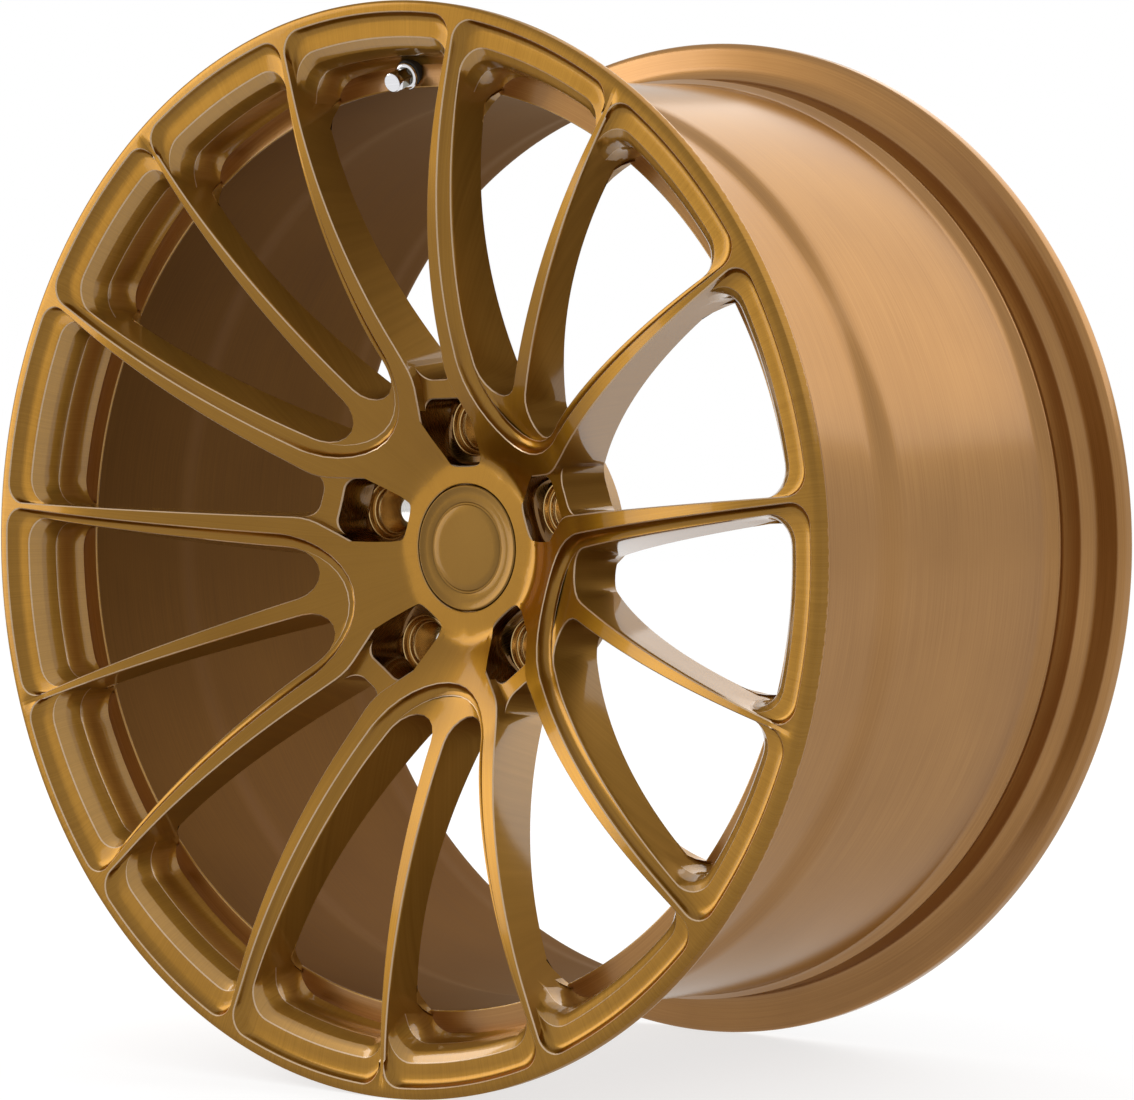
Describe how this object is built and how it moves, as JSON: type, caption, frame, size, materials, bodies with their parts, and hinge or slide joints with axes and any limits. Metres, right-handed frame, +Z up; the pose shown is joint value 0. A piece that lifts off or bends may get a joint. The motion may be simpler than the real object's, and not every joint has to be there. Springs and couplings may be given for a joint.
{
  "type": "road car wheel",
  "caption": "Concave forged racing wheel in brushed bronze, with grouped slim spokes, a deep barrel, recessed conical lug seats, a push-in centre cap and a clamp-in tyre valve.",
  "frame": {"origin": "on the wheel's axis, midway between the outer faces of its two flanges", "axes": "+Y along the axis towards the car, -Y the street side, +Z up through the tyre valve"},
  "size_m": [0.522, 0.263, 0.522],
  "materials": {
    "brushed_bronze": "brushed, bronze tinted, clear coated",
    "chrome": "polished plate",
    "black_rubber": "matte",
    "brass": "turned",
    "spring_steel": "drawn wire",
    "black_plastic": "moulded"
  },
  "bodies": {
    "wheel": {"rim_barrel": "brushed_bronze", "hub": "brushed_bronze", "spoke_1_middle": "brushed_bronze", "spoke_1_left": "brushed_bronze", "spoke_1_right": "brushed_bronze", "spoke_2_middle": "brushed_bronze", "spoke_2_left": "brushed_bronze", "spoke_2_right": "brushed_bronze", "spoke_3_middle": "brushed_bronze", "spoke_3_left": "brushed_bronze", "spoke_3_right": "brushed_bronze", "spoke_4_middle": "brushed_bronze", "spoke_4_left": "brushed_bronze", "spoke_4_right": "brushed_bronze", "spoke_5_middle": "brushed_bronze", "spoke_5_left": "brushed_bronze", "spoke_5_right": "brushed_bronze", "valve_stem": "chrome", "valve_inner_seal": "black_rubber", "valve_washer": "black_rubber", "valve_nut": "chrome", "valve_core_body": "brass", "valve_core_spring": "spring_steel"},
    "centre_cap": {"centre_cap_disc": "brushed_bronze", "centre_cap_clip": "black_plastic", "centre_cap_spring_ring": "spring_steel"},
    "valve_cap_lift": {"valve_cap_seal": "black_rubber"},
    "valve_cap": {"valve_cap": "chrome"},
    "valve_pin": {"valve_core_pin": "brass"}
  },
  "joints": [
    {"name": "cap_pull", "type": "slide", "parent": "wheel", "child": "centre_cap", "axis": [0, -1, 0], "range_m": [0, 0.02]},
    {"name": "valve_cap_rise", "type": "slide", "parent": "wheel", "child": "valve_cap_lift", "axis": [0, -0.9272, -0.3746], "range_m": [0, 0.00635]},
    {"name": "valve_cap_turn", "type": "hinge", "parent": "valve_cap_lift", "child": "valve_cap", "pos_m": [0, -0.0965, 0.2302], "axis": [0, -0.9272, -0.3746], "range_deg": [0, 2880]},
    {"name": "valve_pin_press", "type": "slide", "parent": "wheel", "child": "valve_pin", "axis": [0, 0.9272, 0.3746], "range_m": [0, 0.0012], "stiffness_N_per_m": 2000, "deforming": ["valve_core_spring"]}
  ],
  "couplings": [
    {"joint": "valve_cap_turn", "follows": "valve_cap_rise", "rad_per_m": 7913.3}
  ]
}
